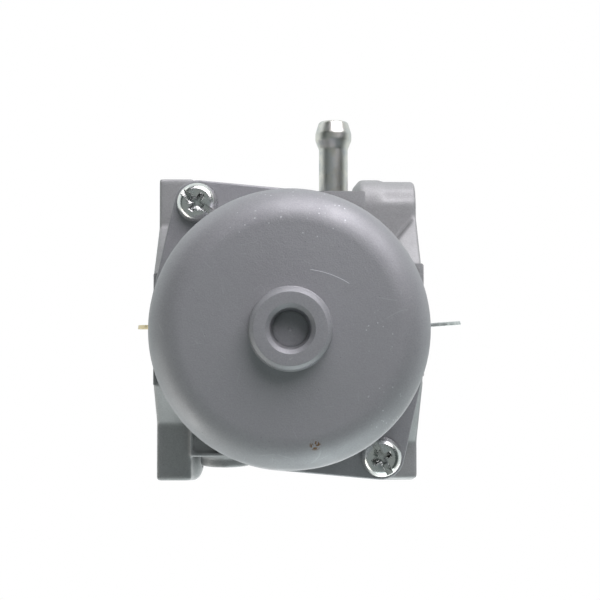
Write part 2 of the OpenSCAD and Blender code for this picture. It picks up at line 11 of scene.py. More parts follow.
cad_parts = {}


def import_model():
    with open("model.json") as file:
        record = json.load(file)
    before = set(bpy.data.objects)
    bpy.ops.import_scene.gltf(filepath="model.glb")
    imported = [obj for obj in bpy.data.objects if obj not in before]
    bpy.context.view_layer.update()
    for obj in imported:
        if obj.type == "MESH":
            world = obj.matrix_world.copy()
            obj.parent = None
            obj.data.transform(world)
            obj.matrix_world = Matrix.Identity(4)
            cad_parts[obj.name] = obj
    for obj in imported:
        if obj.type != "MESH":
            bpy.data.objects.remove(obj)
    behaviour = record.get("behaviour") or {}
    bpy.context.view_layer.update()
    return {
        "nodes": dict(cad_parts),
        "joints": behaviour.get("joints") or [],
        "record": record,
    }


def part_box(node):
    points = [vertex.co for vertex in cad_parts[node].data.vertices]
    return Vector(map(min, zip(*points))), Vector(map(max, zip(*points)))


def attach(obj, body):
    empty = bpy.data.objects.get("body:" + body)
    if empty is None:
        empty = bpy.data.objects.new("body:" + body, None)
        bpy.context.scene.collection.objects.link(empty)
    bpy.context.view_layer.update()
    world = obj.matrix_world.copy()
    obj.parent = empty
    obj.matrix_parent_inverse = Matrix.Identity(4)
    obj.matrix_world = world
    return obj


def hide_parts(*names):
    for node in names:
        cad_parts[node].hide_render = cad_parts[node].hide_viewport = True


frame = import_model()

# Sizes are in millimetres until mm() turns them into metres.
MM = 0.001
NODES = frame["nodes"]
BODY_OF = {n: b for b, names in frame["record"]["behaviour"]["bodies"].items() for n in names}
SLOT_OF = {s["node"]: s["material_slot"] for s in frame["record"]["subparts"]}
JOINT = {j["name"]: j for j in frame["joints"]}
MOUNT = {m["name"]: m for m in frame["record"]["mounts"]}


def mm(*values):
    """Millimetres as a Vector in metres."""
    return Vector(values) * MM


def box_mm(node):
    """Lowest and highest corner of a CAD node, in millimetres."""
    low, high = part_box(node)
    return low / MM, high / MM


def pivot_mm(joint):
    """The point that a joint turns about, in millimetres."""
    return Vector(JOINT[joint]["pos_m"]) / MM


# ---------------------------------------------------------------- mesh helpers


def to_mesh(name, bm):
    """Turns a bmesh into a mesh, and frees it."""
    mesh = bpy.data.meshes.new(name)
    bm.to_mesh(mesh)
    bm.free()
    return mesh


def linked(name, data):
    """A new object in the scene."""
    made = bpy.data.objects.new(name, data)
    bpy.context.scene.collection.objects.link(made)
    return made


def new_object(name, bm, node, smooth=True):
    """Makes bm an object that replaces a CAD node, on its body and in its material slot."""
    bmesh.ops.recalc_face_normals(bm, faces=bm.faces)
    made = linked(name, to_mesh(name, bm))
    for polygon in made.data.polygons:
        polygon.use_smooth = smooth
    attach(made, BODY_OF[node])
    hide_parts(node)
    made.data.materials.append(MATERIALS[SLOT_OF[node]])
    return made


def apply_modifiers(made):
    """Turns what the modifiers show into the object's own mesh."""
    depsgraph = bpy.context.evaluated_depsgraph_get()
    final = bpy.data.meshes.new_from_object(made.evaluated_get(depsgraph))
    made.modifiers.clear()
    made.data = final
    return made


def sharpened(made, angle):
    """Smooth shading that stops at edges sharper than angle."""
    made.data.shade_smooth()
    made.data.set_sharp_from_angle(angle=radians(angle))
    return made


def soften(made, width, segments, angle):
    """Rounds every edge sharper than angle, and keeps the faces between them flat in shading."""
    bevel = made.modifiers.new("Edges", "BEVEL")
    bevel.width = width * MM
    bevel.segments = segments
    bevel.limit_method = "ANGLE"
    bevel.angle_limit = radians(angle)
    bevel.harden_normals = True
    return apply_modifiers(made)


def rounded(points, steps=6):
    """An outline of (r, z, fillet) with each corner turned into an arc of that radius."""
    out = []
    last = len(points) - 1
    for i, (r, z, fillet) in enumerate(points):
        here = Vector((r, z))
        if fillet <= 0 or i in (0, last):
            out.append(here)
            continue
        before = (Vector(points[i - 1][:2]) - here).normalized()
        after = (Vector(points[i + 1][:2]) - here).normalized()
        half = acos(max(-1, min(1, before.dot(after)))) / 2
        centre = here + (before + after).normalized() * (fillet / sin(half))
        start = here + before * (fillet * cos(half) / sin(half)) - centre
        sweep = pi - 2 * half
        if start.x * after.y - start.y * after.x < 0:
            sweep = -sweep
        for k in range(steps + 1):
            a = sweep * k / steps
            turned_x = start.x * cos(a) - start.y * sin(a)
            turned_z = start.x * sin(a) + start.y * cos(a)
            out.append(centre + Vector((turned_x, turned_z)))
    return out


OFF_AXIS = 0.37  # how far round from +X a turned piece's first point lies, in steps


def lathe(outline, segments=96, place=Matrix.Identity(4), reach=None):
    """Turns an outline of (r, z) about Z. A closed ring if it stays off the axis, else a solid.
    reach(r, z, angle) gives another radius for a point."""
    bm = bmesh.new()
    rings = []
    for r, z in outline:
        if r < 1e-6:
            rings.append([bm.verts.new(place @ mm(0, 0, z))])
            continue
        ring = []
        for k in range(segments):
            a = 2 * pi * (k + OFF_AXIS) / segments
            d = reach(r, z, a) if reach else r
            ring.append(bm.verts.new(place @ mm(d * cos(a), d * sin(a), z)))
        rings.append(ring)
    solid = len(rings[0]) == 1 or len(rings[-1]) == 1
    pairs = list(zip(rings, rings[1:])) + ([] if solid else [(rings[-1], rings[0])])
    for one, two in pairs:
        for k in range(segments):
            n = (k + 1) % segments
            corners = [one[k % len(one)], one[n % len(one)], two[n % len(two)], two[k % len(two)]]
            corners = list(dict.fromkeys(corners))
            if len(corners) > 2:
                bm.faces.new(corners)
    return bm


def carve(made, cutter):
    """Cuts a closed mesh out of an object."""
    bmesh.ops.recalc_face_normals(cutter, faces=cutter.faces)
    tool = linked("cutter", to_mesh("cutter", cutter))
    cut = made.modifiers.new("Cut", "BOOLEAN")
    cut.operation = "DIFFERENCE"
    cut.solver = "EXACT"
    cut.object = tool
    apply_modifiers(made)
    bpy.data.objects.remove(tool)
    return made


def prism(outline, low, high, place=Matrix.Identity(4), top_scale=1.0):
    """A closed prism over a flat outline of (x, y), with its far end scaled."""
    bm = bmesh.new()
    ends = [[bm.verts.new(place @ mm(x * s, y * s, z)) for x, y in outline]
            for z, s in ((low, 1.0), (high, top_scale))]
    count = len(outline)
    bm.faces.new(ends[0])
    bm.faces.new(ends[1])
    for k in range(count):
        n = (k + 1) % count
        bm.faces.new([ends[0][k], ends[0][n], ends[1][n], ends[1][k]])
    return bm


def facing(origin, direction):
    """A frame in metres whose +Z runs along direction from a point in millimetres."""
    turn = Vector(direction).to_track_quat("Z", "Y").to_matrix().to_4x4()
    return Matrix.Translation(mm(*origin)) @ turn


# ---------------------------------------------------------------- materials


def times(colour, factor):
    """A colour made brighter or darker, with no channel over 1."""
    return [min(1, channel * factor) for channel in colour]


OCCLUSION_RAYS = 6


class Shader:
    """A small builder for node materials."""

    def __init__(self, name):
        self.material = bpy.data.materials.new(name)
        self.material.use_nodes = True
        self.tree = self.material.node_tree
        self.bsdf = self.tree.nodes["Principled BSDF"]
        self.place = self.node("ShaderNodeTexCoord").outputs["Object"]

    def node(self, kind, **settings):
        made = self.tree.nodes.new(kind)
        for key, value in settings.items():
            setattr(made, key, value)
        return made

    def link(self, source, target):
        self.tree.links.new(source, target)

    def set(self, **values):
        for key, value in values.items():
            self.bsdf.inputs[key.replace("_", " ")].default_value = value

    def noise(self, size_mm, detail=4.0, rough=0.6, stretch=None):
        """Noise whose blotches are about size_mm across; stretch scales its axes."""
        made = self.node("ShaderNodeTexNoise")
        made.inputs["Scale"].default_value = 1 / (size_mm * MM)
        made.inputs["Detail"].default_value = detail
        made.inputs["Roughness"].default_value = rough
        source = self.place
        if stretch:
            mapping = self.node("ShaderNodeMapping")
            mapping.inputs["Rotation"].default_value = stretch[0]
            mapping.inputs["Scale"].default_value = stretch[1]
            self.link(source, mapping.inputs["Vector"])
            source = mapping.outputs["Vector"]
        self.link(source, made.inputs["Vector"])
        return made.outputs["Fac"]

    def spots(self, size_mm):
        """Distance to scattered points, for grains and pits about size_mm apart."""
        made = self.node("ShaderNodeTexVoronoi")
        made.inputs["Scale"].default_value = 1 / (size_mm * MM)
        self.link(self.place, made.inputs["Vector"])
        return made.outputs["Distance"]

    def ramp(self, source, *stops):
        """Colours or greys against a value; each stop is (position, colour or grey)."""
        made = self.node("ShaderNodeValToRGB")
        elements = made.color_ramp.elements
        while len(elements) < len(stops):
            elements.new(0.5)
        for element, (position, value) in zip(elements, stops):
            element.position = position
            grey = isinstance(value, (int, float))
            element.color = (value, value, value, 1) if grey else (*value, 1)
        self.link(source, made.inputs["Fac"])
        return made.outputs["Color"]

    def mix(self, factor, one, two, mode="MIX"):
        """Mixes two colours; factor may be a number or a socket."""
        made = self.node("ShaderNodeMix", data_type="RGBA", blend_type=mode)
        factor_in, one_in, two_in = made.inputs[0], made.inputs[6], made.inputs[7]
        for socket, value in ((factor_in, factor), (one_in, one), (two_in, two)):
            if isinstance(value, bpy.types.NodeSocket):
                self.link(value, socket)
            elif isinstance(value, (int, float)):
                socket.default_value = value
            else:
                socket.default_value = (*value, 1)
        return made.outputs[2]

    def scaled(self, grey, amount):
        """A grey times a number."""
        return self.mix(1.0, grey, (amount,) * 3, "MULTIPLY")

    def both(self, one, two):
        """Two greys multiplied: bright only where both are."""
        return self.mix(1.0, one, two, "MULTIPLY")

    def cavity(self, reach_mm, *stops):
        """A value that falls in corners and crevices."""
        made = self.node("ShaderNodeAmbientOcclusion", samples=OCCLUSION_RAYS)
        made.inputs["Distance"].default_value = reach_mm * MM
        return self.ramp(made.outputs["AO"], *stops)

    def worn_edges(self, reach_mm, *stops):
        """A value that changes near outer edges, felt from inside the piece."""
        made = self.node("ShaderNodeAmbientOcclusion", samples=OCCLUSION_RAYS, inside=True)
        made.inputs["Distance"].default_value = reach_mm * MM
        return self.ramp(made.outputs["AO"], *stops)

    def bump(self, *layers):
        """Stacks (height, depth in mm, strength) layers and feeds them to the normal."""
        normal = None
        for height, depth_mm, strength in layers:
            made = self.node("ShaderNodeBump")
            made.inputs["Strength"].default_value = strength
            made.inputs["Distance"].default_value = depth_mm * MM
            self.link(height, made.inputs["Height"])
            if normal is not None:
                self.link(normal, made.inputs["Normal"])
            normal = made.outputs["Normal"]
        self.link(normal, self.bsdf.inputs["Normal"])

    def finish(self, colour, roughness):
        self.link(colour, self.bsdf.inputs["Base Color"])
        self.link(roughness, self.bsdf.inputs["Roughness"])
        return self.material


def scratches(s, count=2, width_mm=0.07):
    """Short thin straight scratches in scattered directions, as a grey that is 0 off them."""
    total = None
    for k in range(count):
        cell = 9.0 + 6.0 * k
        made = s.node("ShaderNodeTexVoronoi", feature="DISTANCE_TO_EDGE")
        made.inputs["Scale"].default_value = 1 / (cell * MM)
        s.link(s.place, made.inputs["Vector"])
        core, edge = 0.3 * width_mm / cell, width_mm / cell
        lines = s.ramp(made.outputs["Distance"], (core, 1.0), (edge, 0.0))
        gate = s.ramp(s.noise(4.0 + 2.0 * k, 1.0), (0.62, 0.0), (0.67, 1.0))
        shown = s.both(lines, gate)
        total = shown if total is None else s.mix(1.0, total, shown, "ADD")
    return total


def cast_metal(name, dark, light, metallic, rough, grain, corner_shade_colour, reach_mm=2.5, extra=None):
    """Die-cast alloy: soft mottling, a fine blasted grain, pits, scratches, and painted shade that
    darkens corners and crevices.
    extra(shader, colour, bright) may add marks of its own to the colour."""
    s = Shader(name)
    s.set(Metallic=metallic)
    mottle = s.noise(7.0, 5.0, 0.62)
    fine = s.noise(0.34, 2.0, 0.7)
    colour = s.mix(mottle, dark, light)
    colour = s.mix(s.ramp(fine, (0.30, 0.0), (0.72, grain)), colour, times(light, 1.6))
    pits = s.ramp(s.spots(2.6), (0.02, 1.0), (0.06, 0.0))
    colour = s.mix(s.scaled(pits, 0.45), colour, times(dark, 0.45))
    colour = s.mix(s.scaled(scratches(s), 0.35), colour, times(light, 1.5))
    edges = s.worn_edges(0.5, (0.45, 0.45), (0.85, 0.0))
    colour = s.mix(edges, colour, times(light, 1.45))
    if extra:
        colour = extra(s, colour, times(light, 2.3))
    # painted shade: corners and crevices are darkened towards a dark greenish shade colour
    colour = s.mix(s.cavity(reach_mm, (0.20, 0.75), (0.80, 0.0)), colour, corner_shade_colour)
    roughness = s.ramp(mottle, (0.3, rough + 0.06), (0.7, rough - 0.05))
    s.bump((fine, 0.05, 0.55), (s.noise(1.1, 3.0, 0.55), 0.08, 0.35), (pits, -0.05, 0.3),
           (s.noise(6.0, 2.0), 0.12, 0.25))
    return s.finish(colour, roughness)


def plated(name, base, tint, rough, lines=None, grain=1.0):
    """Bright plated or machined metal with faint tool marks, stains, fine wear and painted shade in
    corners.
    """
    s = Shader(name)
    s.set(Metallic=1.0)
    clouds = s.noise(2.6, 4.0, 0.6)
    colour = s.mix(s.ramp(clouds, (0.35, 0.0), (0.75, 1.0)), base, tint)
    # painted shade: the colour is darkened in corners and crevices
    colour = s.mix(s.cavity(1.2, (0.3, 0.6), (0.9, 0.0)), colour, times(base, 0.25))
    marks = s.noise(0.5, 2.0, 0.6, ((0, 0, 0), lines or (0.12, 0.12, 1.6)))
    worn = s.ramp(clouds, (0.25, rough * 0.75), (0.8, rough * 1.4))
    roughness = s.mix(s.scaled(scratches(s), 0.5), worn, (0.6, 0.6, 0.6))
    s.bump((marks, 0.010, 0.45 * grain), (s.noise(0.25, 2.0), 0.006, 0.25 * grain))
    return s.finish(colour, roughness)


def soft_solid(name, dark, light, rough, grain_mm):
    """Rubber or moulded plastic: a matte surface with a fine grain."""
    s = Shader(name)
    grain = s.noise(grain_mm, 3.0, 0.6)
    colour = s.mix(s.noise(3.0, 3.0), dark, light)
    roughness = s.ramp(grain, (0.3, rough - 0.08), (0.7, rough + 0.08))
    s.bump((grain, 0.03, 0.5))
    return s.finish(colour, roughness)


def patch(s, centre, radius_mm, soft_mm):
    """A grey that is 1 near a point and falls to 0 at radius_mm from it."""
    offset = s.node("ShaderNodeVectorMath", operation="DISTANCE")
    s.link(s.place, offset.inputs[0])
    offset.inputs[1].default_value = mm(*centre)
    fall = s.node("ShaderNodeMapRange")
    fall.inputs["From Min"].default_value = radius_mm * MM
    fall.inputs["From Max"].default_value = (radius_mm - soft_mm) * MM
    s.link(offset.outputs["Value"], fall.inputs["Value"])
    return fall.outputs["Result"]


def arc_scratch(s, centre, radius_mm, middle, reach_mm):
    """A grey that is 1 on a thin circle, and only within reach_mm of a point on it."""
    edge = 0.05
    outer = patch(s, centre, radius_mm + 0.09, edge)
    inner = patch(s, centre, radius_mm - 0.01, edge)
    ring = s.mix(1.0, outer, inner, "SUBTRACT")
    return s.both(ring, patch(s, middle, reach_mm, 0.5))


def bowl_marks(s, colour, bright):
    """Wear on the bowl: a bowed scratch on its floor, knocks on the shoulder, a spot of rust."""
    arc_centre, arc_r = (-32.1, -7.1, -51), 19
    arc_middle, arc_reach = (-38.5, 10.8, -51), 4.3
    scratch = arc_scratch(s, arc_centre, arc_r, arc_middle, arc_reach)
    colour = s.mix(scratch, colour, bright)
    specks = s.ramp(s.spots(0.9), (0.12, 1.0), (0.20, 0.0))
    chosen = s.ramp(s.noise(1.6, 1.0), (0.52, 0.0), (0.57, 1.0))
    # where the knocks gather: the place, its radius and how bright they are
    groups = (((-35, 24.5, -50), 9, 0.9), ((-24, 24, -50), 8, 0.6),
              ((-48, -1, -51), 5.5, 0.55), ((-50, -16, -50), 7, 0.55))
    for centre, radius, amount in groups:
        near = s.scaled(patch(s, centre, radius, 3.0), amount)
        colour = s.mix(s.both(s.both(specks, chosen), near), colour, bright)
    rust_at, rust_r, rust_colour = (-35.4, -23.0, -50.5), 1.3, (0.16, 0.085, 0.035)
    ragged = s.ramp(s.noise(0.7, 2.0), (0.44, 0.0), (0.50, 1.0))
    return s.mix(s.both(ragged, patch(s, rust_at, rust_r, 0.5)), colour, rust_colour)


# The last colour in each cast_metal call is its painted shade, laid into corners and crevices.
MATERIALS = {
    "cast": cast_metal("cast_alloy", (0.305, 0.305, 0.315), (0.37, 0.37, 0.38), 0.42, 0.56, 0.30,
                       (0.06, 0.068, 0.063)),
    "bowl": cast_metal("blasted_bowl", (0.280, 0.280, 0.300), (0.330, 0.329, 0.350), 0.42, 0.52,
                       0.22, (0.08, 0.09, 0.087), 1.0, bowl_marks),
    "zinc": plated("zinc_plate", (0.80, 0.79, 0.77), (0.68, 0.71, 0.73), 0.24, None, 0.35),
    "tube": plated("plated_tube", (0.74, 0.71, 0.66), (0.56, 0.58, 0.60), 0.34, (1.6, 0.06, 1.6),
                   0.22),
    "steel": plated("plain_steel", (0.68, 0.70, 0.70), (0.57, 0.59, 0.60), 0.48),
    "brass": plated("machined_brass", (0.75, 0.62, 0.40), (0.62, 0.51, 0.33), 0.30),
    "gasket": soft_solid("gasket_rubber", (0.018, 0.018, 0.02), (0.035, 0.035, 0.037), 0.62, 0.4),
    "seal": soft_solid("felt_seal", (0.02, 0.02, 0.02), (0.05, 0.047, 0.043), 0.9, 0.25),
    "viton": soft_solid("valve_rubber", (0.10, 0.045, 0.025), (0.15, 0.07, 0.04), 0.5, 0.4),
    "float": soft_solid("float_plastic", (0.016, 0.016, 0.018), (0.03, 0.03, 0.033), 0.38, 0.8),
}

# ---------------------------------------------------------------- cast body

FILLET = 0.9  # radius of cast edges
CRISP = 0.2  # radius of machined edges
BODY_LOW, BODY_HIGH = box_mm("carburetor_body")
DECK_Z = box_mm("bowl_gasket")[1].z
SHAFTS = [pivot_mm("throttle_turn"), pivot_mm("choke_turn")]
STUD_Y = MOUNT["engine_studs"]["dims"]["spacing_x_mm"] / 2
STUD_HOLE_R = MOUNT["engine_studs"]["dims"]["hole_r_mm"]
HORN_R = 16.0  # the widest bore along the barrel
SHAFT_HOLE_R = 3.4  # reaches just past either shaft's bore


def machined(point):
    """Whether a point of the casting lies on a cut face or in a drilled hole."""
    x, y, z = point / MM
    if x > BODY_HIGH.x - 0.3 or x < BODY_LOW.x + 0.3 or abs(z - DECK_Z) < 0.05:
        return True
    if hypot(y, z) < HORN_R + 0.4:
        return True
    if any(hypot(x - shaft.x, y - shaft.y) < SHAFT_HOLE_R for shaft in SHAFTS):
        return True
    return hypot(abs(y) - STUD_Y, z) < STUD_HOLE_R + 0.2


def sharp_edges(source, angle, step):
    """Points step mm apart along every edge of a mesh sharper than angle, each with the edge's
    rounding radius in mm."""
    samples = []
    for edge in source.edges:
        if not edge.is_manifold or edge.calc_face_angle() < radians(angle):
            continue
        a, b = (v.co for v in edge.verts)
        count = max(1, ceil((b - a).length / (step * MM)))
        width = CRISP if machined(a) and machined(b) else FILLET
        samples += [(a.lerp(b, k / count), width) for k in range(count + 1)]
    return samples


def relaxed(mesh, passes):
    """The vertices of a mesh after some rounds of averaging with their neighbours."""
    count = len(mesh.vertices)
    points = np.zeros(count * 3)
    mesh.vertices.foreach_get("co", points)
    points = points.reshape(-1, 3)
    pairs = np.zeros(len(mesh.edges) * 2, int)
    mesh.edges.foreach_get("vertices", pairs)
    pairs = pairs.reshape(-1, 2)
    degree = np.bincount(pairs.ravel(), minlength=count)[:, None]
    for _ in range(passes):
        total = np.zeros_like(points)
        for axis in range(3):
            total[:, axis] = (np.bincount(pairs[:, 0], points[pairs[:, 1], axis], count)
                              + np.bincount(pairs[:, 1], points[pairs[:, 0], axis], count))
        points = 0.5 * points + 0.5 * total / degree
    return points


def casting(node, voxel=0.38, passes=8, triangles=180000):
    """The body with every cast edge and inner corner rounded. The CAD surface is remeshed and
    smoothed, then drawn back to its true place away from edges. Machined edges stay crisp."""
    snap = 0.7 * voxel * MM
    source = bmesh.new()
    source.from_mesh(NODES[node].data)
    bmesh.ops.remove_doubles(source, verts=source.verts, dist=1e-6)
    bmesh.ops.recalc_face_normals(source, faces=source.faces)
    samples = sharp_edges(source, 28, 0.2)
    tree = KDTree(len(samples))
    for i, (point, _) in enumerate(samples):
        tree.insert(point, i)
    tree.balance()
    surface = BVHTree.FromBMesh(source)
    made = new_object(node + "_cast", source, node)
    remesh = made.modifiers.new("Remesh", "REMESH")
    remesh.mode = "VOXEL"
    remesh.voxel_size = voxel * MM
    remesh.use_smooth_shade = True
    apply_modifiers(made)
    smooth = relaxed(made.data, passes)
    for i, vertex in enumerate(made.data.vertices):
        edge, index, gap = tree.find(vertex.co)
        width = samples[index][1]
        soft = Vector(smooth[i])
        if width == CRISP:
            smooth[i] = edge if gap < snap else surface.find_nearest(soft)[0]
            continue
        # 0 at the edge and 1 on the true surface beyond the rounding, with a smooth step between
        keep = max(0.0, min(1.0, (gap / MM - 0.35 * width) / width))
        keep = keep * keep * (3 - 2 * keep)
        smooth[i] = soft.lerp(surface.find_nearest(soft)[0], keep)
    made.data.vertices.foreach_set("co", smooth.ravel())
    made.data.update()
    thin = made.modifiers.new("Thin", "DECIMATE")
    thin.ratio = min(1.0, triangles / (2 * len(made.data.polygons)))
    apply_modifiers(made)
    bm = bmesh.new()
    bm.from_mesh(made.data)
    bmesh.ops.remove_doubles(bm, verts=bm.verts, dist=0.02 * MM)
    bmesh.ops.dissolve_degenerate(bm, edges=bm.edges, dist=0.01 * MM)
    bm.to_mesh(made.data)
    bm.free()
    return sharpened(made, 48)


casting("carburetor_body")

# ---------------------------------------------------------------- float bowl

BOWL_LOW, BOWL_HIGH = box_mm("float_bowl")
BOWL_AXIS = Vector(MOUNT["bowl_boss_socket"]["pos_m"]) / MM
SOCKET_R = MOUNT["bowl_boss_socket"]["dims"]["r_mm"]
SOCKET_H = BOWL_AXIS.z + MOUNT["bowl_boss_socket"]["dims"]["length_mm"] / 2 - BOWL_LOW.z
FLANGE_R = BOWL_HIGH.x - BOWL_AXIS.x
FLANGE_T = 3.2
EAR_R = 5.2
HEAD_R = 4.5  # bowl screws
HEAD_H = 3.0
SCREWS_LOW, SCREWS_HIGH = box_mm("bowl_screws")
SCREW_SPAN = (SCREWS_HIGH - SCREWS_LOW).xy / 2 - Vector((HEAD_R, HEAD_R))
EARS = (SCREW_SPAN, -SCREW_SPAN)  # from the bowl's axis


def flange_reach(angle):
    """Radius of the bowl's flange outline, with its two tangent ears, in a direction."""
    best = FLANGE_R
    for ear in EARS:
        far = ear.length
        off = (angle - atan2(ear.y, ear.x) + pi) % (2 * pi) - pi
        lean = acos((FLANGE_R - EAR_R) / far)
        if abs(off) < pi / 2:
            side = EAR_R ** 2 - (far * sin(off)) ** 2
            touch = atan2(EAR_R * sin(lean), far + EAR_R * cos(lean))
            if side > 0 and abs(off) <= touch:
                best = max(best, far * cos(off) + side ** 0.5)
            elif abs(off) < lean:
                best = max(best, FLANGE_R / cos(lean - abs(off)))
    return best


def float_bowl():
    """The bowl: a bored boss under its floor, a rounded shoulder and a flange with two ears."""
    foot, top = BOWL_LOW.z, BOWL_HIGH.z
    base = foot + 4
    under = top - FLANGE_T
    socket_floor = foot + SOCKET_H
    wall_r, wall_top_r, wall = 28.7, 29.3, 2.6
    boss_r, boss_side_r, boss_base_r, bevel_r = 7.3, 8.1, 8.3, 4.95
    post_r, post_top = 7.3, foot + 10
    screw_hole_r = 2.7
    boss = [(0, socket_floor + 0.25, 0), (0.5, socket_floor, 0.3), (SOCKET_R, socket_floor, 0.25),
            (SOCKET_R, foot + 0.85, 0.1), (bevel_r, foot, 0.1), (boss_r, foot, 0.3),
            (boss_side_r, foot + 0.8, 0.3)]
    outside = [(boss_base_r, base, 0.35), (wall_r, base, 7.5), (wall_top_r, under, 0.8),
               (FLANGE_R, under, 0.5), (FLANGE_R, top, 0.25)]
    inside = [(wall_top_r - wall, top, 0.25), (wall_r - wall, base + wall, 5.0),
              (post_r, base + wall, 0.8), (post_r, post_top, 0.8), (0, post_top, 0)]

    def reach(r, z, angle):
        on_flange = r > FLANGE_R - 0.55 and z > under - 0.1
        return r + flange_reach(angle) - FLANGE_R if on_flange else r

    centre = Matrix.Translation(mm(BOWL_AXIS.x, BOWL_AXIS.y, 0))
    bm = lathe(rounded(boss + outside + inside, steps=14), 288, centre, reach)
    made = new_object("float_bowl_cast", bm, "float_bowl")
    hole = [(0, under - 1), (screw_hole_r, under - 1), (screw_hole_r, top + 1), (0, top + 1)]
    for ear in EARS:
        place = Matrix.Translation(mm(BOWL_AXIS.x + ear.x, BOWL_AXIS.y + ear.y, 0))
        carve(made, lathe(hole, 48, place))
    made.data.materials[0] = MATERIALS["bowl"]
    return sharpened(made, 40)


float_bowl()

# ---------------------------------------------------------------- screws


def bar(half_length, half_width):
    """A flat rectangle round the origin."""
    return [(-half_length, -half_width), (half_length, -half_width),
            (half_length, half_width), (-half_length, half_width)]


def pan_screw(name, centre, axis, size, slot_turn, node, cross=True):
    """Pan head with a straight slot and, if cross, a cross recess; axis points out of the head.
    size is (head radius, head height, shank radius, shank length) in mm."""
    head_r, head_h, shank_r, length = size
    place = facing(centre, axis)
    crown = rounded([
        (0, head_h, 0), (head_r * 0.80, head_h * 0.97, head_r * 0.30),
        (head_r * 0.985, head_h * 0.30, head_r * 0.12), (head_r, 0.0, 0.03 * head_r),
        (shank_r, 0, 0.1), (shank_r, 0.5 - length, 0.1), (shank_r - 0.5, -length, 0.1),
        (0, -length, 0)], 14)
    made = new_object(name, lathe(crown, 112, place), node)
    turned = place @ Matrix.Rotation(slot_turn, 4, "Z")
    half_slot = head_r * 0.165
    slot_floor = head_h * 0.52
    carve(made, prism(bar(head_r * 1.2, half_slot), slot_floor, head_h + 1, turned))
    if cross:
        arm_shape = bar(head_r * 0.56, half_slot * 0.92)
        depth, taper = head_h * 0.75, 0.55
        down = turned @ Matrix.Translation(mm(0, 0, head_h)) @ Matrix.Rotation(pi, 4, "X")
        for turn in (0, pi / 2):
            carve(made, prism(arm_shape, -0.8, depth, down @ Matrix.Rotation(turn, 4, "Z"), taper))
    return soften(made, 0.02 * head_r, 2, 38)


def join(name, made, node):
    """Makes several objects one piece that stands for a CAD node."""
    bm = bmesh.new()
    for piece in made:
        bm.from_mesh(piece.data)
        bpy.data.objects.remove(piece)
    return new_object(name, bm, node)


def bowl_screws():
    """The two screws under the bowl's ears, each stopped at its own turn."""
    head_z = SCREWS_LOW.z + HEAD_H
    size = (HEAD_R, HEAD_H, 2.45, SCREWS_HIGH.z - head_z - 0.1)
    slot_turns = (-35, -63)
    made = []
    for k, (ear, turn) in enumerate(zip(EARS, slot_turns)):
        centre = (BOWL_AXIS.x + ear.x, BOWL_AXIS.y + ear.y, head_z)
        made.append(pan_screw(f"screw_{k}", centre, (0, 0, -1), size, radians(turn), "bowl_screws"))
    return sharpened(join("bowl_screws_pan", made, "bowl_screws"), 38)


def plate_screws(node, joint, spread, seat, turn=0.0):
    """Two small brass screws that hold a butterfly plate on its shaft, seat mm off the axis."""
    pivot = pivot_mm(joint)
    out = Vector((sin(-turn), cos(-turn), 0))
    size = (2.1, 1.2, 1.35, 3.0)
    made = []
    for k, z in enumerate((-spread, spread)):
        centre = (pivot.x + out.x * seat, pivot.y + out.y * seat, z)
        slot_turn = 0.5 + 0.9 * k
        made.append(pan_screw(f"{node}_{k}", centre, out, size, slot_turn, node, False))
    return sharpened(join(node + "_pan", made, node), 38)


bowl_screws()
plate_screws("throttle_plate_screws", "throttle_turn", 5.0, 1.2)
plate_screws("choke_plate_screws", "choke_turn", 6.0, 1.1, radians(-4))

# ---------------------------------------------------------------- adjusting screws and springs


def threaded(r, pitch, depth, low, high):
    """A reach() for lathe that cuts a V thread into radius r between two heights."""

    def reach(radius, z, angle):
        if abs(radius - r) > 0.01 or not low <= z <= high:
            return radius
        phase = (z / pitch - angle / (2 * pi)) % 1
        run_out = min(1, (z - low) / pitch, (high - z) / pitch)
        return radius - depth * run_out * (1 - abs(2 * phase - 1))
    return reach


ADJUSTER_HEAD_H = 3.6


def adjuster(node, tip, axis, tip_len, length):
    """A slotted adjusting screw with a tapered tip, a threaded shank and a milled head."""
    r, tip_r, head_r, collar_r = 2.0, 0.5, 3.6, 3.3
    milled_low, milled_high, top = length + 1.2, length + 3.2, length + ADJUSTER_HEAD_H
    pitch, thread_depth, rings_per_mm = 0.8, 0.32, 10
    ridges, ridge_depth = 30, 0.09
    outline = [(0, 0), (tip_r, 0)]
    outline += [(r, tip_len + k / rings_per_mm)
                for k in range(int((length - tip_len) * rings_per_mm) + 1)]
    outline += [tuple(p) for p in rounded([
        (r, length, 0), (collar_r, length, 0.15), (head_r - 0.05, length + 1.0, 0.1),
        (head_r, milled_low, 0.1), (head_r, milled_high, 0.3), (head_r - 0.5, top, 0.3),
        (0, top, 0)], 4)]
    thread = threaded(r, pitch, thread_depth, tip_len, length - 0.6)

    def reach(radius, z, angle):
        if radius > head_r - 0.02 and milled_low <= z <= milled_high:
            return radius - ridge_depth * (1 + cos(ridges * angle))
        return thread(radius, z, angle)

    place = facing(tip, axis)
    made = new_object(node + "_turned", lathe(outline, 120, place, reach), node)
    half_slot, slot_floor = 0.55, length + 2.2
    carve(made, prism(bar(5, half_slot), slot_floor, length + 5, place))
    return sharpened(made, 40)


